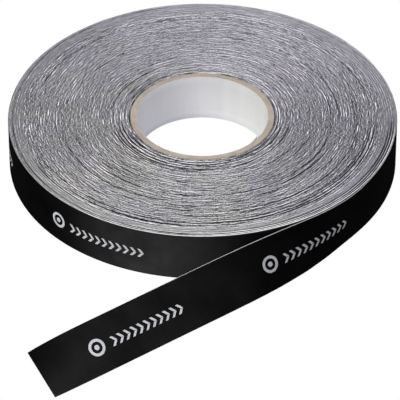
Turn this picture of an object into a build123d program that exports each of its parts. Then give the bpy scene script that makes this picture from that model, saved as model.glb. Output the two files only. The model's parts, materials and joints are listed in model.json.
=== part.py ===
from build123d import *
import math
import os

# A reel of self-adhesive racket grip tape, lying on its side.
# One strip, about 50 m long and 30 mm wide, is wound clockwise (seen from above) on a
# paperboard core. The strip is a laminate: a black elastomer film whose printed face looks
# outwards, an acrylic adhesive behind it, and a white silicone-coated paper release liner
# that faces the core. The last quarter metre has come off the reel and stands on its lower
# edge, twisting slowly until it leans far back at its free end.
#
# Frame: millimetres, +Z up along the reel's axis, origin on that axis in the plane the
# reel rests on.

# ---------------------------------------------------------------- driving dimensions
TAPE_W = 30.0            # strip width, and so the reel's height

# laminate
FILM_T = 0.34
ADHESIVE_T = 0.12
LINER_T = 0.20
LAYER_GAP = 0.01         # play between bonded layers, so that no two solids share volume
PITCH = FILM_T + ADHESIVE_T + LINER_T + 3 * LAYER_GAP

# each layer's outer and inner faces, as depths behind the printed face
FILM = (0.0, FILM_T)
ADHESIVE = (FILM[1] + LAYER_GAP, FILM[1] + LAYER_GAP + ADHESIVE_T)
LINER = (ADHESIVE[1] + LAYER_GAP, ADHESIVE[1] + LAYER_GAP + LINER_T)

# reel
REEL_R = 113.0           # printed face of the outermost turn, where the tail leaves it
TURNS = 102
HALF_TURNS = 2 * TURNS
TAIL_START_DEG = -30.0   # where the tail leaves the reel, from +X

# paperboard core, 3 inch bore
CORE_R = 38.1
BODY_PLY_T = 0.96
PLY_GAP = 0.01
# plies from the bore outwards: name, thickness, angle of the butt seam from +X.
# The facing ply on the bore is lapped and has no open seam.
CORE_PLIES = [
    ("core_inner_ply", 0.40, None),
    ("core_body_ply_1", BODY_PLY_T, 20.0),
    ("core_body_ply_2", BODY_PLY_T, 140.0),
    ("core_body_ply_3", BODY_PLY_T, 260.0),
    ("core_outer_ply", 0.38, 70.0),
]
SEAM_W = 0.25
SEAM_RISE_DEG = 22.0     # how far a seam walks round the tube over the seam tool's height
SEAM_STEPS = 4           # lofted spans along the seam tool
SEAM_OVERRUN = 1.0       # how far the seam tool passes each end of the tube
SEAM_OVERCUT = 0.3       # how much deeper the seam tool is than its ply, both faces together

# double-sided strip that holds the first turn on the core
STARTER_T = 0.12
STARTER_LEN = 38.0
STARTER_W = 26.0
STARTER_GAP = 0.01

# free tail: length, and outward tilt where it leaves the reel
TAIL_LEN = 237.7
TAIL_LIFT_DEG = 0.70
# Bend and twist at evenly spaced stations from the reel to the free end. The strip never
# bends in its own plane, as a real tape doesn't.
# curvature, 1/mm, positive towards the reel
TAIL_CURVE = [
    0.00752, 0.00771, 0.00739, 0.00670, 0.00586, 0.00501, 0.00419, 0.00334, 0.00244,
    0.00146, 0.00046, -0.00046, -0.00119, -0.00163, -0.00172, -0.00145, -0.00088,
    -0.00007, 0.00089, 0.00192, 0.00296, 0.00397, 0.00494, 0.00588, 0.00678,
]
# twist, rad/mm
TAIL_TWIST = [
    0.00041, 0.00110, -0.00056, -0.00365, -0.00695, -0.00951, -0.01085, -0.01093, -0.01003,
    -0.00851, -0.00673, -0.00497, -0.00340, -0.00211, -0.00115, -0.00055, -0.00033,
    -0.00053, -0.00115, -0.00222, -0.00372, -0.00565, -0.00796, -0.01066, -0.01373,
]
TAIL_STEPS = 400         # steps in which the bend and twist are summed along the tail
SECTION_SPACING = 7.0    # rough distance between loft sections
MIN_SECTIONS = 3

# the tail is cut into sections that hinge on each other, so that it can flex
LINK_GAP = 0.30
TAIL_LINKS = 7
LAST_LINK_LEN = 42.0
PEEL_LINKS = 3           # printed film sections that lift off the liner at the free end
PEEL_LEN = 12.0

os.makedirs("parts", exist_ok=True)


def write(builder, name):
    builder.part.label = name
    export_step(builder.part, f"parts/{name}.step")


# ---------------------------------------------------------------- core plies
def seam_tool(radius, thickness, start_deg):
    """A thin helical blade that opens one ply's butt seam."""
    with BuildPart(mode=Mode.PRIVATE) as blade:
        for k in range(SEAM_STEPS + 1):
            share = k / SEAM_STEPS
            z = -SEAM_OVERRUN + (TAPE_W + 2 * SEAM_OVERRUN) * share
            angle = math.radians(start_deg + SEAM_RISE_DEG * share)
            radial = Vector(math.cos(angle), math.sin(angle), 0)
            centre = radial * (radius + thickness / 2) + Vector(0, 0, z)
            with BuildSketch(Plane(origin=centre, x_dir=radial, z_dir=(0, 0, 1))):
                Rectangle(thickness + SEAM_OVERCUT, SEAM_W)
        loft()
    return blade.part


def ply(name, radius, thickness, seam_deg):
    """One board tube of the core, from its inner radius."""
    with BuildPart() as tube:
        with BuildSketch(Plane.XY):
            Circle(radius + thickness)
            Circle(radius, mode=Mode.SUBTRACT)
        extrude(amount=TAPE_W)
        if seam_deg is not None:
            add(seam_tool(radius, thickness, seam_deg), mode=Mode.SUBTRACT)
    write(tube, name)


def core():
    """All plies, nested outwards. Returns the core's outer radius."""
    radius = CORE_R
    for name, thickness, seam_deg in CORE_PLIES:
        ply(name, radius, thickness, seam_deg)
        radius += thickness + PLY_GAP
    return radius - PLY_GAP


# ---------------------------------------------------------------- starter strip
def starter_strip(core_radius):
    """A curved strip on the core, ending at the angle where the first turn starts."""
    sweep = math.degrees(STARTER_LEN / core_radius)
    start = TAIL_START_DEG - sweep
    inner_radius = core_radius + STARTER_GAP
    with BuildPart() as starter:
        with BuildSketch(Plane.XY.offset((TAPE_W - STARTER_W) / 2)):
            with BuildLine():
                inner = CenterArc((0, 0), inner_radius, start, sweep)
                outer = CenterArc((0, 0), inner_radius + STARTER_T, start, sweep)
                Line(inner @ 0, outer @ 0)
                Line(inner @ 1, outer @ 1)
            make_face()
        extrude(amount=STARTER_W)
    write(starter, "starter_strip")


# ---------------------------------------------------------------- wound strip
def spiral_edges(end_radius, first, last):
    """Semicircles about two centres a half pitch apart: each turn is one pitch outside the
    last, and every joint is tangent. Runs clockwise outwards and ends on local +X. first and
    last are half turns, counted from the core."""
    offset = PITCH / 4
    edges = []
    x = end_radius - TURNS * PITCH
    for half in range(last):
        side = 1 if half % 2 == 0 else -1
        radius = x + offset
        centre = -side * offset
        if half >= first:
            middle = (centre, -side * radius)
            edges.append(ThreePointArc((side * x, 0), middle, (centre - side * radius, 0)))
        x = radius + offset
    return edges


def wound(name, layer, first=0, last=HALF_TURNS):
    """One layer of the wound strip."""
    outside, inside = layer
    with BuildPart() as coil:
        with BuildSketch(Plane.XY.rotated((0, 0, TAIL_START_DEG))):
            with BuildLine():
                outer = spiral_edges(REEL_R - outside, first, last)
                inner = spiral_edges(REEL_R - inside, first, last)
                Line(outer[0] @ 0, inner[0] @ 0)
                Line(outer[-1] @ 1, inner[-1] @ 1)
            make_face()
        extrude(amount=TAPE_W)
    write(coil, name)


# ---------------------------------------------------------------- free tail
def sample(values, share):
    """Linear blend between evenly spaced values, for a share from 0 up to, not at, 1."""
    t = share * (len(values) - 1)
    i = int(t)
    return values[i] + (values[i + 1] - values[i]) * (t - i)


def swing(vector, axis, angle):
    """A vector turned about a unit axis by an angle in radians."""
    cosine = math.cos(angle)
    along_axis = axis * (axis.dot(vector) * (1 - cosine))
    return vector * cosine + axis.cross(vector) * math.sin(angle) + along_axis


def ribbon():
    """Point on the printed face's centreline and unit directions (along, inward, across) at
    TAIL_STEPS + 1 even stations."""
    leave = math.radians(TAIL_START_DEG)
    tilted = leave + math.radians(TAIL_LIFT_DEG)
    step = TAIL_LEN / TAIL_STEPS
    point = Vector(REEL_R * math.cos(leave), REEL_R * math.sin(leave), TAPE_W / 2)
    along = Vector(math.sin(tilted), -math.cos(tilted), 0)
    inward = Vector(-math.cos(tilted), -math.sin(tilted), 0)
    across = Vector(0, 0, 1)
    stations = [(point, along, inward, across)]
    for i in range(TAIL_STEPS):
        share = (i + 0.5) / TAIL_STEPS
        bend = along.cross(inward) * (sample(TAIL_CURVE, share) * step)
        twist = inward.cross(across) * (sample(TAIL_TWIST, share) * step)
        turn = bend + twist
        axis, angle = turn.normalized(), turn.length
        old_along = along
        along, inward, across = (swing(v, axis, angle) for v in (along, inward, across))
        point = point + (old_along + along).normalized() * step
        stations.append((point, along, inward, across))
    return stations


STATIONS = ribbon()


def station(distance):
    """Point, along and inward at a distance from where the tail leaves the reel."""
    t = distance / TAIL_LEN * TAIL_STEPS
    i = min(int(t), TAIL_STEPS - 1)
    u = t - i
    point, along, inward = (
        STATIONS[i][k] * (1 - u) + STATIONS[i + 1][k] * u for k in range(3)
    )
    along = along.normalized()
    inward = (inward - along * inward.dot(along)).normalized()
    return point, along, inward


def strip(name, start, end, layer):
    """A length of one layer of the tail."""
    outside, inside = layer
    sections = max(MIN_SECTIONS, round((end - start) / SECTION_SPACING) + 1)
    with BuildPart() as piece:
        for k in range(sections):
            point, along, inward = station(start + (end - start) * k / (sections - 1))
            centre = point + inward * ((outside + inside) / 2)
            with BuildSketch(Plane(origin=centre, x_dir=inward, z_dir=along)):
                Rectangle(inside - outside, TAPE_W)
        loft()
    write(piece, name)


def tail():
    """Hinged links of all three layers, then the peeling film and adhesive."""
    link_len = (TAIL_LEN - LAST_LINK_LEN) / (TAIL_LINKS - 1)
    cuts = [link_len * k for k in range(TAIL_LINKS)] + [TAIL_LEN]
    peel_start = TAIL_LEN - PEEL_LINKS * PEEL_LEN
    half_gap = LINK_GAP / 2

    for k in range(TAIL_LINKS):
        start = cuts[k] + half_gap
        film_end = liner_end = cuts[k + 1] - half_gap
        if k == TAIL_LINKS - 1:
            # the liner runs on to the free end, under the peeling sections
            film_end, liner_end = peel_start - half_gap, TAIL_LEN
        strip(f"film_tail_{k + 1}", start, film_end, FILM)
        strip(f"adhesive_tail_{k + 1}", start, film_end, ADHESIVE)
        strip(f"liner_tail_{k + 1}", start, liner_end, LINER)

    for k in range(PEEL_LINKS):
        start = peel_start + k * PEEL_LEN + half_gap
        end_gap = 0 if k == PEEL_LINKS - 1 else half_gap
        end = peel_start + (k + 1) * PEEL_LEN - end_gap
        strip(f"film_peel_{k + 1}", start, end, FILM)
        strip(f"adhesive_peel_{k + 1}", start, end, ADHESIVE)


# ---------------------------------------------------------------- build
core_radius = core()
starter_strip(core_radius)
# the film's last turn is its own piece: it is the next to come off the reel
wound("film_wound", FILM, last=HALF_TURNS - 2)
wound("film_last_turn", FILM, first=HALF_TURNS - 2)
wound("adhesive_wound", ADHESIVE)
wound("liner_wound", LINER)
tail()
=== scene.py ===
# Grip tape roll: a reel of black racket grip tape on a paperboard core, with a free tail.
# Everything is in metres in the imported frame; the strip is described in millimetres.
import json
import math

import bmesh
import bpy
import numpy as np
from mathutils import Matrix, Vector

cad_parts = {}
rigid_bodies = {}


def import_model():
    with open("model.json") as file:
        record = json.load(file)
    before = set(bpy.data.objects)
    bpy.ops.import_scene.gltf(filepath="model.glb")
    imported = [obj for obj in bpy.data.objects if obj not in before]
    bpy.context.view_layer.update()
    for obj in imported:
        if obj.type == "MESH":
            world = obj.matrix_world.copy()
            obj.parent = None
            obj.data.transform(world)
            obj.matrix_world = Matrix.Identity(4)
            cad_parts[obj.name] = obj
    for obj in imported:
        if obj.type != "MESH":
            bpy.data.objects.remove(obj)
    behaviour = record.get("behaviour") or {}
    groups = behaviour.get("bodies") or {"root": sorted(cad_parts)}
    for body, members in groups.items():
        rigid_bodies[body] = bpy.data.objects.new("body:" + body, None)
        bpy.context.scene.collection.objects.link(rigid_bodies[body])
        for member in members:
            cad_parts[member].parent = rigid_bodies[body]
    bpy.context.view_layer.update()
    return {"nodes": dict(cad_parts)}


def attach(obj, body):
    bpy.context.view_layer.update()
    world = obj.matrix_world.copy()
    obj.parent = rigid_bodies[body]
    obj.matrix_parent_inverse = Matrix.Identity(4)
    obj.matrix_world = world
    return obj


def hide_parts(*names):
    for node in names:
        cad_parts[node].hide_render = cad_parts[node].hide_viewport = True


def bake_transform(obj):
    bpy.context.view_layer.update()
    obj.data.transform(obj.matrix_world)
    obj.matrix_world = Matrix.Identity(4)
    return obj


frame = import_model()

# ------------------------------------------------------------------ the strip, in mm
W = 30.0
REEL_R = 113.0
PITCH = 0.69
TURNS = 102
START = math.radians(-30.0)
FILM = (0.00, 0.34)
GLUE = (0.35, 0.47)
LINER = (0.48, 0.68)
TAIL_LEN = 237.7
LIFT = math.radians(0.70)
CURVE = [
    0.00752, 0.00771, 0.00739, 0.00670, 0.00586, 0.00501, 0.00419, 0.00334, 0.00244,
    0.00146, 0.00046, -0.00046, -0.00119, -0.00163, -0.00172, -0.00145, -0.00088,
    -0.00007, 0.00089, 0.00192, 0.00296, 0.00397, 0.00494, 0.00588, 0.00678,
]
TWIST = [
    0.00041, 0.00110, -0.00056, -0.00365, -0.00695, -0.00951, -0.01085, -0.01093, -0.01003,
    -0.00851, -0.00673, -0.00497, -0.00340, -0.00211, -0.00115, -0.00055, -0.00033,
    -0.00053, -0.00115, -0.00222, -0.00372, -0.00565, -0.00796, -0.01066, -0.01373,
]
STEPS = 400
LINKS = 7
LAST_LINK = 42.0
PLAIN = (TAIL_LEN - LAST_LINK) / (LINKS - 1)
CUTS = [PLAIN * k for k in range(LINKS)] + [TAIL_LEN]
PEEL_LEN = 12.0
PEEL0 = TAIL_LEN - 3 * PEEL_LEN


def unit(v):
    return v / np.linalg.norm(v, axis=-1, keepdims=True)


def ribbon():
    """Centre of the printed face and its along / inward / across directions, as the CAD tail."""
    grid = np.linspace(0, 1, len(CURVE))
    a, b, ds = START, START + LIFT, TAIL_LEN / STEPS
    p = np.array([REEL_R * math.cos(a), REEL_R * math.sin(a), W / 2])
    t = np.array([math.sin(b), -math.cos(b), 0.0])
    n = np.array([-math.cos(b), -math.sin(b), 0.0])
    u = np.array([0.0, 0.0, 1.0])
    out = [(p, t, n, u)]
    for i in range(STEPS):
        share = (i + 0.5) / STEPS
        w = np.cross(t, n) * np.interp(share, grid, CURVE) * ds + np.cross(n, u) * np.interp(share, grid, TWIST) * ds
        turn = np.linalg.norm(w)
        k = w / turn

        def swing(v):
            return v * math.cos(turn) + np.cross(k, v) * math.sin(turn) + k * (k @ v) * (1 - math.cos(turn))

        t2, n, u = swing(t), swing(n), swing(u)
        p = p + unit(t + t2) * ds
        t = t2
        out.append((p, t, n, u))
    return np.array(out)


TAIL = ribbon()


def strip_at(s):
    """(point, along, inward, across) at distances s along the strip: 0 is where the tail
    leaves the reel, the free end is at TAIL_LEN, and the wound strip has negative s."""
    s = np.atleast_1d(np.asarray(s, float))
    out = np.zeros((len(s), 4, 3))
    wound = s < 0
    if wound.any():
        # s = -(R phi - PITCH phi^2 / 4 pi)
        q = -s[wound]
        k = PITCH / (4 * math.pi)
        phi = (REEL_R - np.sqrt(np.maximum(REEL_R**2 - 4 * k * q, 0))) / (2 * k)
        r = REEL_R - PITCH * phi / (2 * math.pi)
        a = START + phi
        zero, one = np.zeros_like(a), np.ones_like(a)
        out[wound, 0] = np.stack([r * np.cos(a), r * np.sin(a), one * W / 2], 1)
        out[wound, 1] = np.stack([np.sin(a), -np.cos(a), zero], 1)
        out[wound, 2] = np.stack([-np.cos(a), -np.sin(a), zero], 1)
        out[wound, 3] = np.stack([zero, zero, one], 1)
    if (~wound).any():
        x = np.clip(s[~wound] / TAIL_LEN, 0, 1) * STEPS
        i = np.minimum(x.astype(int), STEPS - 1)
        u = (x - i)[:, None, None]
        m = TAIL[i] * (1 - u) + TAIL[i + 1] * u
        m[:, 1] = unit(m[:, 1])
        m[:, 2] = unit(m[:, 2] - m[:, 1] * (m[:, 1] * m[:, 2]).sum(1, keepdims=True))
        up = np.cross(m[:, 1], m[:, 2])
        up *= np.sign((up * m[:, 3]).sum(1, keepdims=True))
        m[:, 3] = up
        out[~wound] = m
    return out


# ------------------------------------------------------------------ noise
def noise1(n, corr, rng):
    """Smooth noise of n samples, unit spread, with bumps about corr samples long."""
    m = int(n / corr) + 4
    pts = rng.standard_normal(m)
    x = np.arange(n) / corr + rng.random()
    i = x.astype(int)
    f = x - i
    f = f * f * (3 - 2 * f)
    v = pts[i] * (1 - f) + pts[i + 1] * f
    return v / max(v.std(), 1e-9)


def bumps2(x, y, seed):
    """Smooth 2-D value noise, about -1 to 1."""
    rng = np.random.default_rng(seed)
    table = rng.standard_normal((256, 256))
    xi, yi = np.floor(x).astype(int), np.floor(y).astype(int)
    fx, fy = x - xi, y - yi
    fx, fy = fx * fx * (3 - 2 * fx), fy * fy * (3 - 2 * fy)
    a = table[xi % 256, yi % 256] * (1 - fx) + table[(xi + 1) % 256, yi % 256] * fx
    b = table[xi % 256, (yi + 1) % 256] * (1 - fx) + table[(xi + 1) % 256, (yi + 1) % 256] * fx
    return a * (1 - fy) + b * fy


# ------------------------------------------------------------------ mesh helpers
def sweep(name, rings, sharp=(), closed=False):
    """A closed solid through rings (stations, points, xyz) in mm. closed joins the last
    station to the first. sharp lists ring points whose lengthwise edges stay crisp."""
    n, k, _ = rings.shape
    me = bpy.data.meshes.new(name)
    i = np.arange(n if closed else n - 1)[:, None]
    j = np.arange(k)[None, :]
    a = i * k + j
    b = i * k + (j + 1) % k
    c = ((i + 1) % n) * k + (j + 1) % k
    d = ((i + 1) % n) * k + j
    quads = np.stack([a, b, c, d], -1).reshape(-1, 4)
    caps = [] if closed else [np.arange(k)[::-1], (n - 1) * k + np.arange(k)]
    # outward winding: test the sign of the volume
    v = rings.reshape(-1, 3)
    q = v[quads]
    vol = np.einsum("ij,ij->i", q[:, 0], np.cross(q[:, 1], q[:, 2])).sum() + np.einsum("ij,ij->i", q[:, 0], np.cross(q[:, 2], q[:, 3])).sum()
    if vol < 0:
        quads = quads[:, ::-1]
        caps = [x[::-1] for x in caps]
    loops = np.concatenate([quads.ravel()] + caps).astype(np.int32)
    sizes = np.concatenate([np.full(len(quads), 4), [len(x) for x in caps]]).astype(np.int32)
    starts = np.concatenate([[0], np.cumsum(sizes)[:-1]]).astype(np.int32)
    me.vertices.add(len(v))
    me.vertices.foreach_set("co", (v * 0.001).astype(np.float32).ravel())
    me.loops.add(len(loops))
    me.loops.foreach_set("vertex_index", loops)
    me.polygons.add(len(sizes))
    me.polygons.foreach_set("loop_start", starts)
    me.polygons.foreach_set("use_smooth", np.ones(len(sizes), bool))
    me.update(calc_edges=True)
    me.validate()
    ev = np.zeros(len(me.edges) * 2, np.int32)
    me.edges.foreach_get("vertices", ev)
    ev = ev.reshape(-1, 2)
    flag = (ev[:, 0] % k == ev[:, 1] % k) & np.isin(ev[:, 0] % k, list(sharp))
    if not closed:
        for s0 in (0, n - 1):
            flag |= (ev[:, 0] // k == s0) & (ev[:, 1] // k == s0)
    at = me.attributes.new("sharp_edge", "BOOLEAN", "EDGE") if "sharp_edge" not in me.attributes else me.attributes["sharp_edge"]
    at.data.foreach_set("value", flag)
    ob = bpy.data.objects.new(name, me)
    bpy.context.scene.collection.objects.link(ob)
    return ob


def vertex_tone(ob, values, name="tone"):
    at = ob.data.attributes.new(name, "FLOAT", "POINT")
    at.data.foreach_set("value", np.asarray(values, np.float32).ravel())


# ------------------------------------------------------------------ materials
def material(name):
    m = bpy.data.materials.new(name)
    m.use_nodes = True
    nt = m.node_tree
    return m, nt, nt.nodes["Principled BSDF"], nt.nodes, nt.links


def ramp(nodes, stops):
    r = nodes.new("ShaderNodeValToRGB")
    while len(r.color_ramp.elements) < len(stops):
        r.color_ramp.elements.new(0.5)
    for e, (pos, col) in zip(r.color_ramp.elements, stops):
        e.position = pos
        e.color = (*col, 1.0)
    return r


def tex_noise(nodes, links, vec, scale, detail=4.0, rough=0.55, distortion=0.0):
    n = nodes.new("ShaderNodeTexNoise")
    n.inputs["Scale"].default_value = scale
    n.inputs["Detail"].default_value = detail
    n.inputs["Roughness"].default_value = rough
    n.inputs["Distortion"].default_value = distortion
    if vec is not None:
        links.new(vec, n.inputs["Vector"])
    return n


def bump(nodes, links, height, dist, strength, normal=None):
    b = nodes.new("ShaderNodeBump")
    b.inputs["Distance"].default_value = dist
    b.inputs["Strength"].default_value = strength
    links.new(height, b.inputs["Height"])
    if normal is not None:
        links.new(normal, b.inputs["Normal"])
    return b


def coords(nodes):
    return nodes.new("ShaderNodeTexCoord").outputs["Object"]


def maths(nodes, links, op, *args):
    """A math node; args are sockets or numbers. Returns its output."""
    n = nodes.new("ShaderNodeMath")
    n.operation = op
    for i, v in enumerate(args):
        if isinstance(v, (int, float)):
            n.inputs[i].default_value = v
        else:
            links.new(v, n.inputs[i])
    return n.outputs[0]


def along_noise(nodes, links, length_mm, detail=1.0, rough=0.5, where="arc"):
    """Noise that varies along the strip only, with bumps about length_mm long."""
    arc = nodes.new("ShaderNodeAttribute")
    arc.attribute_name = where
    n = nodes.new("ShaderNodeTexNoise")
    n.noise_dimensions = "1D"
    n.inputs["Scale"].default_value = 1.0 / length_mm
    n.inputs["Detail"].default_value = detail
    n.inputs["Roughness"].default_value = rough
    links.new(arc.outputs["Fac"], n.inputs["W"])
    return n.outputs["Fac"]


def wear(nodes):
    """How rough the slit edge is here: 1 over most of the reel, less in the clean outer turns."""
    n = nodes.new("ShaderNodeAttribute")
    n.attribute_name = "wear"
    return n.outputs["Fac"]


def film_material():
    m, nt, p, nodes, links = material("grip_film")
    co = coords(nodes)
    cloud = tex_noise(nodes, links, co, 60.0, 3.0)
    tint = ramp(nodes, [(0.3, (0.0011, 0.0011, 0.0012)), (0.7, (0.0024, 0.0024, 0.0026))])
    links.new(cloud.outputs["Fac"], tint.inputs["Fac"])
    links.new(tint.outputs["Color"], p.inputs["Base Color"])
    fine = tex_noise(nodes, links, co, 900.0, 3.0)
    rough = nodes.new("ShaderNodeMapRange")
    rough.inputs["To Min"].default_value = 0.33
    rough.inputs["To Max"].default_value = 0.46
    links.new(fine.outputs["Fac"], rough.inputs["Value"])
    links.new(rough.outputs["Result"], p.inputs["Roughness"])
    grain = nodes.new("ShaderNodeTexVoronoi")
    grain.feature = "DISTANCE_TO_EDGE"
    grain.inputs["Scale"].default_value = 2600.0
    links.new(co, grain.inputs["Vector"])
    b1 = bump(nodes, links, grain.outputs["Distance"], 0.00003, 0.25)
    b2 = bump(nodes, links, cloud.outputs["Fac"], 0.0003, 0.15, b1.outputs["Normal"])
    links.new(b2.outputs["Normal"], p.inputs["Normal"])
    # handling leaves the sheen uneven
    smudge = tex_noise(nodes, links, co, 34.0, 3.0, 0.6)
    sheen = nodes.new("ShaderNodeMapRange")
    sheen.inputs["From Min"].default_value = 0.32
    sheen.inputs["From Max"].default_value = 0.68
    sheen.inputs["To Min"].default_value = 0.25
    sheen.inputs["To Max"].default_value = 0.60
    links.new(smudge.outputs["Fac"], sheen.inputs["Value"])
    links.new(sheen.outputs["Result"], p.inputs["Specular IOR Level"])
    return m


def edge_film_material():
    """The slit edge of the film: darker core with a grey, slightly torn backing."""
    m, nt, p, nodes, links = material("grip_film_slit_edge")
    co = coords(nodes)
    tone = nodes.new("ShaderNodeAttribute")
    tone.attribute_name = "tone"
    nick = along_noise(nodes, links, 1.7, 2.0, 0.6)
    nick = maths(nodes, links, "MULTIPLY", maths(nodes, links, "SUBTRACT", nick, 0.5), wear(nodes))
    v = maths(nodes, links, "MULTIPLY_ADD", nick, 0.9, tone.outputs["Fac"])
    cr = ramp(nodes, [(0.0, (0.006, 0.006, 0.007)), (0.5, (0.03, 0.03, 0.034)), (1.0, (0.20, 0.20, 0.225))])
    links.new(v, cr.inputs["Fac"])
    links.new(cr.outputs["Color"], p.inputs["Base Color"])
    fine = tex_noise(nodes, links, co, 1800.0, 2.0)
    b = bump(nodes, links, fine.outputs["Fac"], 0.00008, 0.4)
    links.new(b.outputs["Normal"], p.inputs["Normal"])
    p.inputs["Roughness"].default_value = 0.6
    p.inputs["Specular IOR Level"].default_value = 0.3
    return m


def glue_material():
    m, nt, p, nodes, links = material("milky_adhesive")
    co = coords(nodes)
    cloud = tex_noise(nodes, links, co, 350.0, 3.0)
    cr = ramp(nodes, [(0.3, (0.30, 0.30, 0.31)), (0.7, (0.50, 0.50, 0.52))])
    links.new(cloud.outputs["Fac"], cr.inputs["Fac"])
    links.new(cr.outputs["Color"], p.inputs["Base Color"])
    b = bump(nodes, links, cloud.outputs["Fac"], 0.0001, 0.4)
    links.new(b.outputs["Normal"], p.inputs["Normal"])
    p.inputs["Roughness"].default_value = 0.28
    return m


def liner_edge_material():
    """The liner's slit edge: bright fibre with nicks, smears of film and short pale burrs."""
    m, nt, p, nodes, links = material("liner_slit_edge")
    co = coords(nodes)
    tone = nodes.new("ShaderNodeAttribute")
    tone.attribute_name = "tone"
    nick = along_noise(nodes, links, 4.2, 2.6, 0.68)
    # the next turn in is nicked where this one isn't, more often than chance
    other = along_noise(nodes, links, 4.2, 2.6, 0.68, "arc_next")
    nick = maths(nodes, links, "MULTIPLY_ADD", maths(nodes, links, "SUBTRACT", other, 0.5), -0.55, nick)
    burr = along_noise(nodes, links, 5.5, 1.0)
    nick = maths(nodes, links, "MULTIPLY", maths(nodes, links, "SUBTRACT", nick, 0.5), wear(nodes))
    v = maths(nodes, links, "MULTIPLY_ADD", nick, 2.0, tone.outputs["Fac"])
    speck = tex_noise(nodes, links, co, 1100.0, 1.0, 0.5)
    v = maths(nodes, links, "MULTIPLY_ADD", maths(nodes, links, "MULTIPLY", maths(nodes, links, "SUBTRACT", speck.outputs["Fac"], 0.5), wear(nodes)), 1.7, v)
    v = maths(nodes, links, "MULTIPLY_ADD", maths(nodes, links, "SUBTRACT", burr, 0.5), 0.45, v)
    cool_side_light = ramp(nodes, [(0.0, (0.050, 0.049, 0.060)), (0.5, (0.425, 0.415, 0.475)), (1.0, (0.90, 0.89, 0.96))])
    warm_side_light = ramp(nodes, [(0.0, (0.050, 0.050, 0.048)), (0.5, (0.435, 0.435, 0.425)), (1.0, (0.92, 0.92, 0.90))])
    links.new(v, cool_side_light.inputs["Fac"])
    links.new(v, warm_side_light.inputs["Fac"])
    # warmer in patches, mostly towards the front left of the reel: a painted tint of warm light on that side, cooler
    # elsewhere
    xyz = nodes.new("ShaderNodeSeparateXYZ")
    links.new(co, xyz.inputs[0])
    side = maths(nodes, links, "MULTIPLY_ADD", xyz.outputs["X"], -4.2, 0.18)
    side = maths(nodes, links, "MULTIPLY_ADD", xyz.outputs["Y"], -5.0, side)
    drift = tex_noise(nodes, links, co, 38.0, 2.0)
    share = nodes.new("ShaderNodeClamp")
    links.new(maths(nodes, links, "MULTIPLY_ADD", maths(nodes, links, "SUBTRACT", drift.outputs["Fac"], 0.5), 3.0, side), share.inputs[0])
    tint = nodes.new("ShaderNodeMix")
    tint.data_type = "RGBA"
    links.new(share.outputs[0], tint.inputs["Factor"])
    links.new(cool_side_light.outputs["Color"], tint.inputs["A"])
    links.new(warm_side_light.outputs["Color"], tint.inputs["B"])
    links.new(tint.outputs["Result"], p.inputs["Base Color"])
    fine = tex_noise(nodes, links, co, 2500.0, 2.0)
    b = bump(nodes, links, fine.outputs["Fac"], 0.00008, 0.5)
    links.new(b.outputs["Normal"], p.inputs["Normal"])
    p.inputs["Roughness"].default_value = 0.62
    p.inputs["Specular IOR Level"].default_value = 0.3
    return m


def liner_face_material():
    m, nt, p, nodes, links = material("release_liner")
    co = coords(nodes)
    cloud = tex_noise(nodes, links, co, 45.0, 5.0)
    cr = ramp(nodes, [(0.3, (0.60, 0.60, 0.625)), (0.7, (0.70, 0.70, 0.72))])
    links.new(cloud.outputs["Fac"], cr.inputs["Fac"])
    links.new(cr.outputs["Color"], p.inputs["Base Color"])
    fibre = tex_noise(nodes, links, co, 1400.0, 4.0, 0.65)
    b1 = bump(nodes, links, fibre.outputs["Fac"], 0.00004, 0.35)
    b2 = bump(nodes, links, cloud.outputs["Fac"], 0.0006, 0.2, b1.outputs["Normal"])
    links.new(b2.outputs["Normal"], p.inputs["Normal"])
    rough = nodes.new("ShaderNodeMapRange")
    rough.inputs["To Min"].default_value = 0.30
    rough.inputs["To Max"].default_value = 0.48
    links.new(fibre.outputs["Fac"], rough.inputs["Value"])
    links.new(rough.outputs["Result"], p.inputs["Roughness"])
    return m


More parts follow.
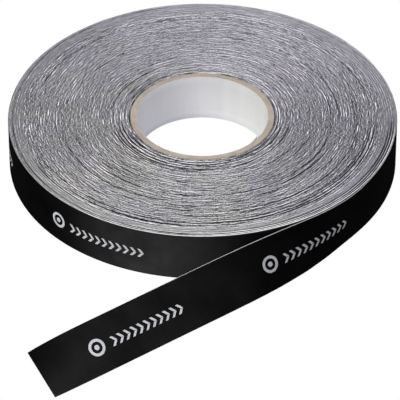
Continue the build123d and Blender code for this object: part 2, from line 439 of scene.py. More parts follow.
def paper_material():
    m, nt, p, nodes, links = material("core_facing_paper")
    co = coords(nodes)
    mp = nodes.new("ShaderNodeMapping")
    mp.inputs["Scale"].default_value = (1.0, 1.0, 0.12)
    links.new(co, mp.inputs["Vector"])
    streak = tex_noise(nodes, links, mp.outputs["Vector"], 160.0, 4.0)
    cr = ramp(nodes, [(0.3, (0.866, 0.863, 0.896)), (0.7, (0.930, 0.930, 0.950))])
    links.new(streak.outputs["Fac"], cr.inputs["Fac"])
    # brighter towards the bottom, darker towards the top: painted light that cancels the shade near the floor
    high = nodes.new("ShaderNodeSeparateXYZ")
    links.new(co, high.inputs[0])
    painted_light_by_height = ramp(nodes, [(0.0, (1.0, 1.0, 1.0)), (0.10, (0.93, 0.93, 0.93)), (0.22, (0.865, 0.865, 0.865)), (0.55, (0.84, 0.84, 0.84)), (0.85, (0.80, 0.80, 0.80)), (1.0, (0.745, 0.745, 0.745))])
    links.new(maths(nodes, links, "MULTIPLY", high.outputs["Z"], 1000.0 / W), painted_light_by_height.inputs["Fac"])
    paper = nodes.new("ShaderNodeMix")
    paper.data_type = "RGBA"
    paper.blend_type = "MULTIPLY"
    paper.inputs["Factor"].default_value = 1.0
    links.new(cr.outputs["Color"], paper.inputs["A"])
    links.new(painted_light_by_height.outputs["Color"], paper.inputs["B"])
    # and darker and warmer towards +X: painted shade and warm light on that side of the bore
    warm_side_light = nodes.new("ShaderNodeMix")
    warm_side_light.data_type = "RGBA"
    warm_side_light.blend_type = "MULTIPLY"
    warm_side_light.inputs["Factor"].default_value = 1.0
    side = ramp(nodes, [(0.0, (1.0, 1.0, 1.0)), (0.4, (0.955, 0.955, 0.955)), (1.0, (0.945, 0.95, 0.885))])
    links.new(maths(nodes, links, "MULTIPLY_ADD", high.outputs["X"], 1000.0 / 76.2, 0.5), side.inputs["Fac"])
    links.new(paper.outputs["Result"], warm_side_light.inputs["A"])
    links.new(side.outputs["Color"], warm_side_light.inputs["B"])
    # the paper's cut edge shows its darker inside
    geo = nodes.new("ShaderNodeNewGeometry")
    up = nodes.new("ShaderNodeSeparateXYZ")
    links.new(geo.outputs["True Normal"], up.inputs[0])
    cut = nodes.new("ShaderNodeClamp")
    links.new(maths(nodes, links, "MULTIPLY_ADD", up.outputs["Z"], 1.6, -0.4), cut.inputs[0])
    inside = nodes.new("ShaderNodeMix")
    inside.data_type = "RGBA"
    links.new(cut.outputs[0], inside.inputs["Factor"])
    links.new(warm_side_light.outputs["Result"], inside.inputs["A"])
    inside.inputs["B"].default_value = (0.47, 0.42, 0.375, 1.0)
    links.new(inside.outputs["Result"], p.inputs["Base Color"])
    fibre = tex_noise(nodes, links, co, 1600.0, 4.0, 0.65)
    b1 = bump(nodes, links, fibre.outputs["Fac"], 0.00005, 0.4)
    b2 = bump(nodes, links, streak.outputs["Fac"], 0.0004, 0.2, b1.outputs["Normal"])
    links.new(b2.outputs["Normal"], p.inputs["Normal"])
    p.inputs["Roughness"].default_value = 0.62
    return m


def board_material(name, lo, hi):
    m, nt, p, nodes, links = material(name)
    co = coords(nodes)
    speck = tex_noise(nodes, links, co, 1300.0, 5.0, 0.7)
    cloud = tex_noise(nodes, links, co, 90.0, 3.0)
    mix = nodes.new("ShaderNodeMath")
    mix.operation = "MULTIPLY_ADD"
    mix.inputs[1].default_value = 0.6
    links.new(speck.outputs["Fac"], mix.inputs[0])
    half = nodes.new("ShaderNodeMath")
    half.operation = "MULTIPLY"
    half.inputs[1].default_value = 0.4
    links.new(cloud.outputs["Fac"], half.inputs[0])
    links.new(half.outputs[0], mix.inputs[2])
    cr = ramp(nodes, [(0.35, lo), (0.65, hi)])
    links.new(mix.outputs[0], cr.inputs["Fac"])
    links.new(cr.outputs["Color"], p.inputs["Base Color"])
    b = bump(nodes, links, speck.outputs["Fac"], 0.00015, 0.6)
    links.new(b.outputs["Normal"], p.inputs["Normal"])
    p.inputs["Roughness"].default_value = 0.85
    return m


def ink_material(name, lo, hi):
    m, nt, p, nodes, links = material(name)
    co = coords(nodes)
    wear = tex_noise(nodes, links, co, 700.0, 4.0)
    cr = ramp(nodes, [(0.25, lo), (0.55, hi)])
    links.new(wear.outputs["Fac"], cr.inputs["Fac"])
    links.new(cr.outputs["Color"], p.inputs["Base Color"])
    p.inputs["Roughness"].default_value = 0.5
    return m


FILM_MAT = film_material()
EDGE_MAT = edge_film_material()
GLUE_MAT = glue_material()
LINER_EDGE_MAT = liner_edge_material()
LINER_MAT = liner_face_material()
PAPER_MAT = paper_material()
BOARD_MAT = board_material("core_board", (0.31, 0.262, 0.212), (0.53, 0.462, 0.402))
OUTER_BOARD_MAT = board_material("core_outer_board", (0.22, 0.20, 0.175), (0.45, 0.415, 0.375))
INK_MAT = ink_material("printed_ink", (0.48, 0.495, 0.517), (0.59, 0.609, 0.637))
# a darker copy of the ink: painted shade for the mark on the shaded stretch of the tail
INK_PAINTED_SHADE_MAT = ink_material("printed_ink_painted_shade", (0.325, 0.335, 0.352), (0.40, 0.413, 0.435))


def finish_piece(ob, mat, body=None, replaces=()):
    for m in (mat if isinstance(mat, (list, tuple)) else [mat]):
        ob.data.materials.append(m)
    if body:
        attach(ob, body)
    if replaces:
        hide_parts(*replaces)
    return ob


# ------------------------------------------------------------------ the wound strip
# The outermost 38 degrees are built as part of the tail's first piece.
TAIL_BACK = 75.0
STATION = 2.2
k_ = PITCH / (4 * math.pi)
PHI_END = 2 * math.pi * TURNS
LENGTH = REEL_R * PHI_END - k_ * PHI_END**2
STATIONS = int(LENGTH / STATION)
s_all = -np.linspace(TAIL_BACK, LENGTH, STATIONS)
q_all = -s_all
phi_all = (REEL_R - np.sqrt(np.maximum(REEL_R**2 - 4 * k_ * q_all, 0))) / (2 * k_)
r_all = REEL_R - PITCH * phi_all / (2 * math.pi)
a_all = START + phi_all
x_all, y_all = r_all * np.cos(a_all), r_all * np.sin(a_all)

rng = np.random.default_rng(7)
fine = noise1(STATIONS, 2.0, rng)            # about 4 mm
streak = noise1(STATIONS, 5.0, rng)          # about 11 mm
dashes = np.sign(streak) * np.abs(streak) ** 1.6   # a few strong ones
long_ = noise1(STATIONS, 20.0, rng)          # about 45 mm
turnly = noise1(STATIONS, 110.0, rng)        # about a third of a turn and more
patch = bumps2(x_all / 6.0, y_all / 6.0, 3)  # patches across neighbouring turns
patch2 = bumps2(x_all / 20.0, y_all / 20.0, 4)
deg_all = np.degrees(a_all) % 360.0
q_next = np.interp(phi_all + 2 * math.pi, phi_all, q_all)   # the same spot one turn further in


def apart(n, share=0.42):
    """Makes neighbouring turns differ more than they would by chance."""
    return n - share * (np.interp(phi_all - 2 * math.pi, phi_all, n) + np.interp(phi_all + 2 * math.pi, phi_all, n))


fine, dashes, long_, turnly = apart(fine), apart(dashes), apart(long_), apart(turnly, 0.3)


def arc_band(r0, start, stop, width, soft=7.0):
    """1 on a stretch of turns at radius r0 between two angles (degrees), falling off to 0."""
    span = (stop - start) % 360.0
    into = (deg_all - start) % 360.0
    into = np.where(into > 180.0 + span / 2, into - 360.0, into)
    ends = np.clip(into / soft + 0.5, 0, 1) * np.clip((span - into) / soft + 0.5, 0, 1)
    if r0 > 97 or 43 < r0 < 56 or 0 < start < 112:   # these lines are crisp: each keeps to one turn
        mid = start + span / 2
        part = ((mid - math.degrees(START)) % 360.0) / 360.0
        turn = REEL_R - PITCH * (round((REEL_R - r0) / PITCH - part) + part)
        off = (deg_all - mid + 180.0) % 360.0 - 180.0
        along = np.clip(0.9 + 0.22 * long_ + 0.14 * fine, 0.25, 1.25)
        return ends * along * np.exp(-(((r_all - turn + PITCH * off / 360.0) / 0.34) ** 2))
    wander = 0.22 * np.sin(np.radians(3 * deg_all) + r0) + 0.12 * np.sin(np.radians(11 * deg_all) + 2 * r0)
    return ends * np.exp(-(((r_all - r0 - wander) / width) ** 2))


# stretches of turns that sit a touch low (dark lines, deepened by painted shade in the tone below) or proud (pale
# lines), in mm and degrees
rings = np.zeros(STATIONS)
for j in range(12):                          # a few neighbouring turns alike, over a sixth of a turn
    tone_r = np.interp(r_all, np.linspace(40, 115, 64), np.random.default_rng(50 + j).normal(size=64))
    rings += tone_r * np.clip(np.cos(a_all - math.radians(30 * j)), 0, 1) ** 8
groove = np.zeros(STATIONS)
for r0, start, stop, width, depth in (
    (44.5, 117, 155, 0.45, 0.9), (45.0, 300, 20, 0.40, 0.6), (47.8, 131, 152, 0.45, 0.9), (48.6, 38, 62, 0.45, 1.0),
    (47.5, 290, 345, 0.50, 1.0), (43.6, 195, 330, 0.4, 0.7), (45.6, 205, 300, 0.4, 0.9), (47.7, 188, 288, 0.4, 1.0), (50.0, 190, 262, 0.45, 0.8), (51.5, 198, 278, 0.45, 0.8), (51.6, 275, 345, 0.40, 0.7),
    (49.0, 262, 290, 0.45, 0.8), (53.0, 196, 240, 0.4, 0.8), (53.2, 125, 172, 0.40, 0.6), (54.6, 215, 262, 0.40, 0.6), (56.9, 205, 235, 0.35, 0.5),
    (58.5, 114, 130, 0.45, 0.8), (59.5, 34, 41, 0.5, 0.8), (59.6, 309, 327, 0.40, 0.7), (60.2, 95, 112, 0.35, 0.4),
    (62.0, 190, 222, 0.35, 0.5), (64.2, 223, 236, 0.45, 0.8), (64.8, 324, 341, 0.45, 0.8), (66.0, 44, 72, 0.35, 0.5),
    (68.0, 226, 244, 0.45, 0.7), (70.6, 216, 247, 0.40, 0.6), (71.3, 295, 335, 0.35, 0.5), (72.6, 218, 236, 0.45, 0.7),
    (75.2, 6, 32, 0.40, 0.6), (75.7, 195, 206, 0.5, 0.9), (75.7, 221, 263, 0.45, 0.9), (75.8, 283, 345, 0.45, 0.8),
    (74.9, 345, 5, 0.40, 0.6), (77.6, 124, 146, 0.45, 0.7), (78.9, 308, 337, 0.40, 0.7), (79.9, 3, 76, 0.45, 0.8),
    (79.9, 38, 62, 0.45, 0.4), (82.0, 293, 302, 1.1, 0.6), (83.2, 192, 242, 0.45, 0.7), (87.6, 43, 76, 0.35, 0.5),
    (88.6, 345, 20, 0.35, 0.4), (91.0, 282, 327, 0.50, 0.9), (90.6, 327, 12, 0.40, 0.5), (94.0, 262, 276, 0.45, 0.7),
    (93.0, 295, 350, 0.35, 0.4), (96.4, 297, 338, 0.40, 0.6), (98.7, 4, 66, 0.40, 0.9), (98.5, 66, 110, 0.55, 0.5),
    (98.7, 106, 160, 0.60, 1.1), (98.5, 284, 356, 0.45, 0.9), (97.2, 312, 350, 0.45, 0.7), (100.4, 212, 262, 0.42, 0.7), (100.4, 262, 352, 0.52, 1.3), (102.1, 296, 348, 0.46, 1.0),
    (103.0, 224, 284, 0.45, 0.8), (103.9, 123, 148, 0.40, 0.6), (105.4, 205, 255, 0.35, 0.5),
    (108.9, 275, 352, 0.38, 0.7), (110.3, 150, 262, 0.38, 0.35), (110.2, 262, 356, 0.36, 0.9), (111.5, 105, 150, 0.38, 0.7),
    (111.6, 238, 356, 0.34, 0.9),
):
    groove += (1.15 if 56 < r0 < 97 and not 0 < start < 112 else 1.45) * depth * arc_band(r0, start, stop, 0.85 * width, 10.0)
groove += 0.8 * arc_band(42.5, 0, 359.9, 0.42, 0.1)
cuts = noise1(STATIONS, 9.0, np.random.default_rng(21))    # short low stretches of single turns, most at the front
groove += 0.9 * np.clip(-cuts - 1.35, 0, 1) * np.clip(0.35 - 0.65 * np.sin(a_all), 0, 1) * (r_all < 104)
proud = np.zeros(STATIONS)
for r0, start, stop, width, depth in (
    (46.0, 200, 345, 0.45, 0.8), (49.8, 39, 52, 0.5, 0.7), (48.6, 205, 330, 0.45, 0.8), (52.6, 230, 285, 0.5, 0.9),
    (55.6, 228, 262, 0.4, 0.6), (57.5, 114, 130, 0.45, 0.9), (60.8, 84, 96, 0.4, 0.6), (66.6, 34, 42, 0.5, 0.9),
    (74.0, 10, 24, 0.5, 0.7), (81.0, 4, 10, 0.4, 0.9), (84.4, 3, 11, 0.4, 0.9), (91.9, 3, 12, 0.4, 0.9),
    (100.7, 90, 108, 0.45, 0.7), (104.7, 228, 292, 0.5, 0.8), (98.0, 10, 14, 0.4, 1.0), (99.5, 286, 352, 0.32, 1.0), (101.3, 290, 350, 0.32, 0.7), (104.4, 292, 350, 0.35, 0.4), (107.2, 200, 340, 0.8, 0.2),
    (109.6, 225, 350, 0.32, 0.9), (110.9, 235, 352, 0.32, 0.9), (112.3, 235, 350, 0.30, 0.6),
):
    spotty = 1.0 if r0 > 99 else np.clip(0.45 + 0.9 * fine, 0, 1.7)
    proud += (1.3 if r0 > 99 else 1.0) * depth * spotty * arc_band(r0, start, stop, 0.85 * width, 10.0)
near = np.clip((58.0 - r_all) / 10.0, 0, 1)               # by the core single turns can be told apart
rough_by_angle = 1.0 - 0.27 * np.sin(a_all) + 0.06 * np.sin(a_all) ** 2 - 0.13 * np.clip(np.cos(a_all), 0, 1)
rough_by_angle += 0.14 * np.clip(np.cos(a_all - math.radians(250)), 0, 1) + 0.34 * np.clip(np.cos(a_all - math.radians(55)), 0, 1) ** 2
rough_by_angle -= 0.08 * np.clip(np.cos(a_all), 0, 1)
# at the left back and the right the streaks are shorter, with a few pale spots
grainy = np.maximum(np.clip(1.25 * np.cos(a_all - math.radians(148)), 0, 1), 0.8 * np.clip(1.25 * np.cos(a_all - math.radians(8)), 0, 1))
grainy *= 1 - near
calm = 1.0 - 0.72 * np.clip((r_all - 104.0) / 1.5, 0, 1)   # the outermost turns were wound cleaner
wear_all = (0.25 + 0.75 * (calm - calm.min()) / (calm.max() - calm.min())) * (1 - 0.10 * near)
wear_all *= (1 + 0.22 * grainy) * (1 - 0.30 * np.sin(a_all)) * (1 - 0.18 * np.cos(a_all) ** 2) * (1 + 0.14 * np.clip(np.cos(a_all - math.radians(250)), 0, 1))
spread_noise = (0.055 * (1 + 0.25 * grainy) * fine + 0.062 * (1 - 0.75 * grainy) * dashes) * (1 - 0.4 * near)
spread_noise += (0.030 * (1 + near) * long_ + 0.070 * (1 + 0.5 * near) * turnly) * (1 - 0.65 * grainy)
spread_noise *= calm * rough_by_angle * (1 + near * (0.45 + 0.45 * np.clip(np.cos(a_all - math.radians(215)), 0, 1)))
spread_noise += 0.28 * grainy * calm * np.clip(fine - 1.6, 0, 1.2)
spread_noise -= 0.12 * near * np.clip(-turnly - 0.6 * long_ - 0.7, 0, 1.5)

# share of each pitch that shows as pale liner edge
light = 0.50 + spread_noise + 0.006 * patch + 0.010 * patch2 + 0.018 * rings * calm * (1 - 0.5 * grainy) - 0.085 * np.cos(a_all) ** 2
light -= 0.05 * np.clip((r_all - 102.0) / 1.5, 0, 1) * np.clip(np.cos(a_all - math.radians(-30)), 0, 1) ** 3
every_other = np.cos((a_all + math.pi / 2) / 2)        # neighbouring turns differ, least at the back
light += every_other * (0.025 + (0.10 + 0.08 * np.cos(a_all) ** 2) * np.clip((r_all - 104.0) / 1.5, 0, 1) + 0.17 * near)
light += near * (0.035 + 0.035 * np.cos(a_all) ** 2 + 0.03 * np.clip(np.cos(a_all - math.radians(190)), 0, 1)) + 0.012 * grainy * patch
light += 0.26 * proud - 0.36 * groove
light += 0.35 * np.clip((r_all - 112.1) / 0.15, 0, 1) * np.clip((deg_all - 245) / 20.0, 0, 1) * np.clip((358 - deg_all) / 10.0, 0, 1)
light += 0.02 * near - 0.012 * np.clip(np.sin(a_all), 0, 1) + 0.014 * np.clip(np.cos(a_all - math.radians(225)), 0, 1)
light = np.clip(light, 0.06, 0.97)
low = np.clip(groove, 0, 1.3)
dz_liner = 0.04 + 0.035 * np.clip(streak, -1.5, 2.0) + 0.02 * fine + 0.05 * np.clip(proud, 0, 1) - 0.60 * low
rim = np.clip((r_all - 112.1) / 0.15, 0, 1)              # the last turn's liner stands up at the rim
rim *= 0.25 + 0.75 * np.clip((deg_all - 205) / 40.0, 0, 1)
dz_liner += 0.30 * rim
dz_film = -0.06 + 0.03 * long_ + 0.02 * turnly - 0.18 * low
dz_film = np.minimum(dz_film, dz_liner - 0.03)
dz_glue = np.minimum(dz_film, dz_liner) - 0.04 - 0.40 * low


def rings_of(sections, sel):
    """sections: list of (depth array, z array) per ring point, for stations sel."""
    pts = []
    for d, z in sections:
        r = (r_all - d)[sel]
        a = a_all[sel]
        pts.append(np.stack([r * np.cos(a), r * np.sin(a), np.broadcast_to(z, r_all.shape)[sel]], -1))
    return np.stack(pts, 1)


one = np.ones(STATIONS)
# the liner's slit edge is burred: its lip spreads outwards over the film by the light share
spread = np.clip((light - 0.30) / 0.62, 0, 1.0)
lip_out = LINER[0] - 0.40 * spread
lip_in = LINER[1] - 0.10 * (1 - spread)
neck = W - 0.16 + np.minimum(dz_liner, 0)
liner_sec = [
    (LINER[0] * one, 0 * one), (LINER[1] * one, 0 * one),
    (LINER[1] * one, neck), (lip_in, W + dz_liner),
    (lip_out, W + dz_liner - 0.02), (LINER[0] * one, neck),
]
film_sec = [
    (FILM[0] * one, 0 * one), (FILM[1] * one, 0 * one),
    (FILM[1] * one, W + dz_film - 0.05), ((FILM[1] - 0.05) * one, W + dz_film),
    ((FILM[0] + 0.05) * one, W + dz_film), (FILM[0] * one, W + dz_film - 0.05),
]
glue_sec = [
    (GLUE[0] * one, 0 * one), (GLUE[1] * one, 0 * one),
    (GLUE[1] * one, W + dz_glue), (GLUE[0] * one, W + dz_glue),
]
# tone: random variation along the edges, darker where the turns sit low (painted shade in the grooves), lighter where
# they stand proud and at the rim
tone_liner = 0.60 + (0.10 * fine + (0.11 * dashes + 0.04 * long_) * (1 - 0.7 * grainy)) * calm * rough_by_angle + 0.015 * patch2
tone_liner = np.clip(tone_liner + 0.25 * proud - 0.42 * low + 0.3 * rim, 0.04, 1.0)
tone_film = np.clip(0.42 + 0.10 * streak + 0.02 * patch - 0.3 * low, 0.0, 0.9)

half = STATIONS // 2 + STATIONS // 12
spans = {"outer": np.arange(0, half + 1), "inner": np.arange(half, STATIONS)}
for part, sel in spans.items():
    ob = sweep(f"film_wound_{part}", rings_of(film_sec, sel), sharp=(0, 1, 2, 3, 4, 5))
    vertex_tone(ob, np.repeat(tone_film[sel], 6))
    vertex_tone(ob, np.repeat(q_all[sel], 6), "arc")
    vertex_tone(ob, np.repeat(wear_all[sel], 6), "wear")
    finish_piece(ob, [FILM_MAT, EDGE_MAT], "reel", ("film_wound", "film_last_turn") if part == "outer" else ("film_wound",))
    # only the top edge takes the slit-edge finish
    mi = np.zeros(len(ob.data.polygons), np.int32)
    nrm = np.zeros(len(ob.data.polygons) * 3, np.float32)
    ob.data.polygons.foreach_get("normal", nrm)
    mi[np.abs(nrm.reshape(-1, 3)[:, 2]) > 0.5] = 1
    ob.data.polygons.foreach_set("material_index", mi)
    ob = sweep(f"liner_wound_{part}", rings_of(liner_sec, sel), sharp=(0, 1, 3, 4))
    vertex_tone(ob, np.repeat(tone_liner[sel], 6))
    vertex_tone(ob, np.repeat(q_all[sel], 6), "arc")
    vertex_tone(ob, np.repeat(q_next[sel], 6), "arc_next")
    vertex_tone(ob, np.repeat(wear_all[sel], 6), "wear")
    finish_piece(ob, LINER_EDGE_MAT, "reel", ("liner_wound",))
ob = sweep("adhesive_wound_strip", rings_of(glue_sec, np.arange(STATIONS)), sharp=(0, 1, 2, 3))
finish_piece(ob, GLUE_MAT, "reel", ("adhesive_wound",))


# ------------------------------------------------------------------ the tail
def ripple(s, w):
    """How far the strip stands off its plain shape: slack undulation, in mm, towards the face."""
    fade = np.clip(s / 40.0, 0, 1)
    return fade * (0.10 * bumps2(s / 26.0 + 11, w / 40.0 + 5, 21) + 0.05 * bumps2(s / 9.0 + 3, w / 14.0 + 9, 22))


def surface(s, w, depth):
    """Points at distance s, height w across (-15..15) and depth behind the printed face."""
    f = strip_at(s)
    off = depth - ripple(s, w)
    return f[:, 0] + f[:, 2] * off[:, None] + f[:, 3] * w[:, None]


def stand_up(s):
    """How far the liner's upper edge stands above the film's, in mm: most by the reel, none at the end."""
    return 0.20 * (1 - np.clip((s - 150.0) / 45.0, 0, 1))


def tail_piece(name, s0, s1, d0, d1, inset=0.0, step=1.0, proud_by=None):
    n = max(4, int((s1 - s0) / step) + 1)
    ss = np.linspace(s0, s1, n)
    half_w = W / 2 - inset
    c = min(0.05, (d1 - d0) * 0.35)
    across = np.linspace(-half_w + c, half_w - c, 9)
    ring = [(x, d0) for x in across] + [(half_w, d0 + c), (half_w, d1 - c)]
    ring += [(x, d1) for x in across[::-1]] + [(-half_w, d1 - c), (-half_w, d0 + c)]
    extra = proud_by(ss) if proud_by else np.zeros(n)
    pts = [surface(ss, x + extra * max(x / half_w, 0.0) ** 6, np.full(n, d)) for x, d in ring]
    return sweep(name, np.stack(pts, 1), sharp=(0, 8, 9, 10, 11, 19, 20, 21))


mids = [(CUTS[k] + CUTS[k + 1]) / 2 for k in range(LINKS - 1)]
film_breaks = [-TAIL_BACK] + mids + [PEEL0 - 3.0, PEEL0 + 6.0, PEEL0 + 18.0, TAIL_LEN]
blend_ends = [0.0] + mids + [PEEL0 - 3.0, PEEL0 + 6.0, PEEL0 + 18.0, PEEL0 + 30.0]
POINT = {}


def at(s, w=0.0, d=0.34):
    return Vector(surface(np.array([float(s)]), np.array([float(w)]), np.array([float(d)]))[0] * 0.001)


def lay(ob, s0, s1):
    at(s0)
    at(s1)
    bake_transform(ob)


names = ["root"] + [f"run_{k}" for k in range(2, LINKS + 1)] + ["peel_a", "peel_b", "peel_end"]
for i in range(len(film_breaks) - 1):
    s0, s1 = film_breaks[i], film_breaks[i + 1]
    link = i + 1
    stands_film = f"film_tail_{link}" if link <= LINKS else f"film_peel_{link - LINKS}"
    stands_glue = f"adhesive_tail_{link}" if link <= LINKS else f"adhesive_peel_{link - LINKS}"
    ob = tail_piece(f"film_{names[i]}", s0, s1, *FILM)
    finish_piece(ob, FILM_MAT, None, (stands_film,))
    lay(ob, blend_ends[i], blend_ends[i + 1])
    ob = tail_piece(f"adhesive_{names[i]}", s0, s1, *GLUE, inset=0.06)
    finish_piece(ob, GLUE_MAT, None, (stands_glue,))
    lay(ob, blend_ends[i], blend_ends[i + 1])
liner_breaks = [-TAIL_BACK] + mids + [TAIL_LEN]
for i in range(LINKS):
    ob = tail_piece(f"liner_{names[i]}", liner_breaks[i], liner_breaks[i + 1], *LINER, inset=-0.02, proud_by=stand_up)
    finish_piece(ob, LINER_MAT, None, (f"liner_tail_{i + 1}",))
    lay(ob, blend_ends[i], blend_ends[i + 1])

for n in ("film_peel_3", "adhesive_peel_3"):
    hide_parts(n)


# ------------------------------------------------------------------ generic printed marks
def outline_ring(cx, cy, r, n=28):
    t = np.linspace(0, 2 * math.pi, n, endpoint=False)
    return np.stack([cx + r * np.cos(t), cy + r * np.sin(t)], 1)


def rounded(points, r=0.35, n=4):
    """Rounds the corners of a convex polygon."""
    pts = np.array(points, float)
    out = []
    for i in range(len(pts)):
        p, a, b = pts[i], pts[i - 1], pts[(i + 1) % len(pts)]
        va, vb = unit(a - p), unit(b - p)
        p0, p1 = p + va * r, p + vb * r
        for t in np.linspace(0, 1, n):
            out.append((1 - t) ** 2 * p0 + 2 * t * (1 - t) * p + t * t * p1)
    return np.array(out)


MARK_H = 0.03   # ink stands this far off the film, in mm


def mark_shapes():
    """Outlines (outer, inner or None) of one printed mark in mm: x runs along it, y up.
    A ring with a dot, then a row of chevrons that point the way the strip unwinds."""
    shapes = [(outline_ring(3.9, -0.3, 4.9, 44), outline_ring(3.9, -0.3, 3.3, 44)), (outline_ring(3.9, -0.3, 1.5, 22), None)]
    stroke, half, reach = 1.68, 2.8, 2.3
    x = 13.0
    for k in range(11):
        for side in (1.0, -1.0):
            y0, y1 = -0.9 + 0.09 * side, -0.9 + half * side
            arm = [(x + reach, y0), (x + reach + stroke, y0), (x + stroke, y1), (x, y1)]
            shapes.append((rounded(arm, 0.22), None))
        x += 4.45
    return shapes


SHAPES = mark_shapes()
MARK_LEN = 63.0


def ink(name, shapes, s_left, s_lo, s_hi):
    """Builds the shapes of one mark whose left end is at s_left, keeping those inside s_lo..s_hi."""
    verts, faces = [], []

    def put(x, y, d):
        verts.append((s_left - x, y, d))
        return len(verts) - 1

    for outer, inner in shapes:
        sc = s_left - outer[:, 0].mean()
        if not s_lo <= sc < s_hi:
            continue
        if inner is None:
            inner = outer.mean(0) + (outer - outer.mean(0)) * 0.02
            hole = False
        else:
            hole = True
        n = len(outer)
        levels = 5
        top, bot = [], []
        for L in range(levels):
            f = L / (levels - 1)
            loop = outer * (1 - f) + inner * f
            top.append([put(x, y, -MARK_H) for x, y in loop])
        base_o = [put(x, y, -0.002) for x, y in outer]
        for L in range(levels - 1):
            for i in range(n):
                j = (i + 1) % n
                faces.append((top[L][i], top[L][j], top[L + 1][j], top[L + 1][i]))
        for i in range(n):
            j = (i + 1) % n
            faces.append((base_o[i], base_o[j], top[0][j], top[0][i]))
        bl = [base_o]
        for L in range(1, levels):
            f = L / (levels - 1)
            loop = outer * (1 - f) + inner * f
            bl.append([put(x, y, -0.002) for x, y in loop])
        for L in range(levels - 1):
            for i in range(n):
                j = (i + 1) % n
                faces.append((bl[L][j], bl[L][i], bl[L + 1][i], bl[L + 1][j]))
        if hole:
            for i in range(n):
                j = (i + 1) % n
                faces.append((top[-1][i], top[-1][j], bl[-1][j], bl[-1][i]))
        else:
            faces.append(tuple(top[-1]))
            faces.append(tuple(bl[-1][::-1]))
    if not verts:
        return None
    v = np.array(verts)
    co = surface(v[:, 0], v[:, 1], v[:, 2]) * 0.001
    me = bpy.data.meshes.new(name)
    me.from_pydata(co.tolist(), [], faces)
    me.validate()
    bm = bmesh.new()
    bm.from_mesh(me)
    bmesh.ops.recalc_face_normals(bm, faces=bm.faces)
    bm.to_mesh(me)
    bm.free()
    ob = bpy.data.objects.new(name, me)
    bpy.context.scene.collection.objects.link(ob)
    return ob


MARK_STEP = 117.0
for m in range(8):
    left = 206.5 - MARK_STEP * m
    if m == 2:
        continue   # the stretch where the tail comes away is blank
    if left - MARK_LEN > 0 or left > 0:
        for i in range(len(film_breaks) - 1):
            lo, hi = film_breaks[i], film_breaks[i + 1]
            ob = ink(f"print_{m + 1}_{names[i]}", SHAPES, left, lo, hi)
            if ob:
                finish_piece(ob, INK_PAINTED_SHADE_MAT if m == 1 else INK_MAT, None)   # this one, on the shaded stretch of the tail, takes a darker copy of the ink: painted shade
                lay(ob, blend_ends[i], blend_ends[i + 1])
    elif left > -TAIL_BACK:
        ob = ink(f"print_{m + 1}_root", SHAPES, left, -TAIL_BACK, 1e9)
        if ob:
            finish_piece(ob, INK_MAT, "reel")
        ob = ink(f"print_{m + 1}_reel", SHAPES, left, -1e9, -TAIL_BACK)
        if ob:
            finish_piece(ob, INK_MAT, "reel")
    else:
        ob = ink(f"print_{m + 1}", SHAPES, left, -1e9, 1e9)
        finish_piece(ob, INK_MAT, "reel")


# ------------------------------------------------------------------ the core
def ply(name, r0, thickness, seam_deg, top_fray, n=420, seed=0, lift=0.0):
    """One ply: a wrapped sheet whose butt seam climbs round the tube, with a cut top edge.
    lift raises the corner beside the seam, where the sheet has come a little loose."""
    rise = math.radians(22.0)
    rg = np.random.default_rng(seed)
    gap = 0.22 / r0
    th = np.linspace(0, 2 * math.pi - gap, n) + math.radians(seam_deg) + gap / 2
    r1 = r0 + thickness
    c = min(0.08, thickness * 0.3)
    fr = top_fray * noise1(n, 1.6, rg) + top_fray * 0.8 * noise1(n, 9.0, rg)
    prof = [(r0, c), (r0 + c, 0.0), (r1 - c, 0.0), (r1, c)]
    zs = np.linspace(c, W - c, 7)[1:]
    prof += [(r1, z) for z in zs] + [(r1 - c, W), (r0 + c, W)] + [(r0, z) for z in zs[::-1]]
    pts = []
    for r, z in prof:
        t = th + rise * z / W
        loose = lift * np.exp(-((np.arange(n)[::-1] / n * 360.0 / 7.0) ** 2)) * np.clip((z - W + 6.0) / 6.0, 0, 1) ** 2
        zz = z + loose + (fr if z > W - 1.0 else 0) - (0.10 if z > W - 1.0 else 0)
        pts.append(np.stack([(r - 0.45 * loose) * np.cos(t), (r - 0.45 * loose) * np.sin(t), zz * np.ones(n)], -1))
    k = len(prof)
    return sweep(name, np.stack(pts, 1), sharp=(1, 2, k - 8 + 0, k - 7))


r = 38.1
for name, th, seam, fray, mat, slot in (
    ("core_inner_ply", 0.40, 305.0, 0.03, PAPER_MAT, "core_facing_paper"),
    ("core_body_ply_1", 0.96, 20.0, 0.06, BOARD_MAT, "core_board"),
    ("core_body_ply_2", 0.96, 140.0, 0.06, BOARD_MAT, "core_board"),
    ("core_body_ply_3", 0.96, 260.0, 0.06, BOARD_MAT, "core_board"),
    ("core_outer_ply", 0.38, 70.0, 0.04, OUTER_BOARD_MAT, "core_board"),
):
    ob = ply(name + "_sheet", r, th, seam, fray, seed=int(seam), lift=1.0 if name == "core_inner_ply" else 0.0)
    finish_piece(ob, mat, "reel", (name,))
    r += th + 0.01

# the starter strip stays as the CAD has it
o = frame["nodes"]["starter_strip"]
o.data.materials.clear()
o.data.materials.append(LINER_MAT)

# ------------------------------------------------------------------ stage, light, camera
bpy.ops.mesh.primitive_plane_add(size=12.0, location=(0, 0, -0.0004))
floor = bpy.context.object
floor.name = "floor"
m, nt, p, nodes, links = material("floor")
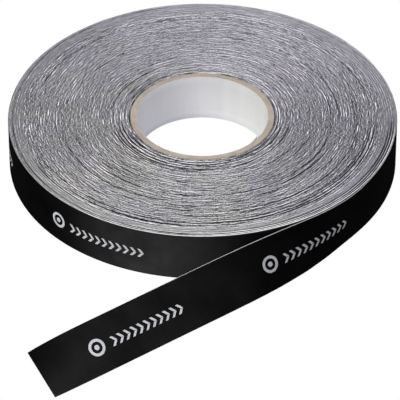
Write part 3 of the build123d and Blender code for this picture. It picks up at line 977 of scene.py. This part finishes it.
# pale and evenly lit to the camera; to the object it is a plain white sheet
# (a little darker outside the reel than the lit sheet that shows through the bore)
place = nodes.new("ShaderNodeNewGeometry")
reach = nodes.new("ShaderNodeVectorMath")
reach.operation = "LENGTH"
links.new(place.outputs["Position"], reach.inputs[0])
sheet = ramp(nodes, [(0.0, (0.75, 0.75, 0.80)), (1.0, (0.56, 0.56, 0.565))])
links.new(maths(nodes, links, "MULTIPLY_ADD", reach.outputs["Value"], 25.0, -1.5), sheet.inputs["Fac"])
links.new(sheet.outputs["Color"], p.inputs["Base Color"])
p.inputs["Roughness"].default_value = 0.9
p.inputs["Specular IOR Level"].default_value = 0.0
shine = nodes.new("ShaderNodeEmission")
shine.inputs["Strength"].default_value = 1.0
path = nodes.new("ShaderNodeLightPath")
both = nodes.new("ShaderNodeMixShader")
links.new(path.outputs["Is Camera Ray"], both.inputs[0])
links.new(p.outputs[0], both.inputs[1])
links.new(shine.outputs[0], both.inputs[2])
links.new(both.outputs[0], nodes["Material Output"].inputs["Surface"])
floor.data.materials.append(m)
floor.visible_glossy = False

world = bpy.data.worlds.new("studio")
bpy.context.scene.world = world
world.use_nodes = True
nodes, links = world.node_tree.nodes, world.node_tree.links
bg = nodes["Background"]
bg.inputs["Color"].default_value = (0.985, 0.98, 1.0, 1)
path = nodes.new("ShaderNodeLightPath")
# a dim room for reflections, with a bright patch of floor in front and a soft panel above


def lobe(az, el, wide, power, level):
    """A soft bright patch of the room: its direction in degrees, half width, falloff and level."""
    d = (math.cos(math.radians(az)) * math.cos(math.radians(el)), math.sin(math.radians(az)) * math.cos(math.radians(el)), math.sin(math.radians(el)))
    dot = nodes.new("ShaderNodeVectorMath")
    dot.operation = "DOT_PRODUCT"
    dot.inputs[1].default_value = d
    links.new(nodes.new("ShaderNodeTexCoord").outputs["Generated"], dot.inputs[0])
    edge = math.cos(math.radians(wide))
    x = maths(nodes, links, "MULTIPLY", maths(nodes, links, "SUBTRACT", dot.outputs["Value"], edge), 1.0 / (1.0 - edge))
    return maths(nodes, links, "MULTIPLY", maths(nodes, links, "POWER", maths(nodes, links, "MAXIMUM", x, 0.0), power), level)


room = maths(nodes, links, "ADD", lobe(-121, -39, 36, 1.3, 1.0), lobe(4, 58, 38, 1.3, 0.55))
room = maths(nodes, links, "ADD", room, 0.012)
SKY = 0.40
glossy = path.outputs["Is Glossy Ray"]
camera_ray = path.outputs["Is Camera Ray"]
plain = maths(nodes, links, "SUBTRACT", 1.0, maths(nodes, links, "MAXIMUM", glossy, camera_ray))
level = maths(nodes, links, "ADD", maths(nodes, links, "MULTIPLY", plain, SKY), maths(nodes, links, "MULTIPLY", glossy, room))
level = maths(nodes, links, "ADD", level, camera_ray)
links.new(level, bg.inputs["Strength"])


def area(name, loc, target, size, power, color=(1, 1, 1)):
    lamp = bpy.data.lights.new(name, "AREA")
    lamp.shape = "RECTANGLE"
    lamp.size, lamp.size_y = size
    lamp.energy = power
    lamp.color = color
    ob = bpy.data.objects.new(name, lamp)
    bpy.context.scene.collection.objects.link(ob)
    ob.location = loc
    ob.rotation_euler = (Vector(target) - Vector(loc)).to_track_quat("-Z", "Y").to_euler()
    ob.visible_glossy = False   # the room above carries the reflections
    return ob


area("key", (-1.10, -0.85, 1.3), (0, 0, 0), (1.0, 1.0), 25.8, (1.0, 0.99, 0.965))
area("fill", (1.2, -0.8, 1.1), (0, 0, 0), (1.2, 1.0), 3.2, (0.90, 0.92, 1.0))
area("top", (0.45, 0.4, 1.9), (0, 0, 0), (1.6, 1.2), 11.6, (0.965, 0.96, 1.0))

cam_data = bpy.data.cameras.new("camera")
cam = bpy.data.objects.new("camera", cam_data)
bpy.context.scene.collection.objects.link(cam)
elev = math.radians(37.50)
dist = 19.16 * 0.113
cam.location = (0, -dist * math.cos(elev), dist * math.sin(elev))
cam.rotation_euler = (math.radians(90) - elev, 0, 0)
cam_data.sensor_width = 36.0
cam_data.lens = 3702.0 / 400.0 * 36.0
cam_data.shift_x = -(202.3 - 200.0) / 400.0
cam_data.shift_y = (156.7 - 200.0) / 400.0
cam_data.clip_start = 0.05
cam_data.clip_end = 50.0
bpy.context.scene.camera = cam

vs = bpy.context.scene.view_settings
vs.view_transform = "Standard"
vs.look = "None"
vs.exposure = 0.0
vs.gamma = 1.0
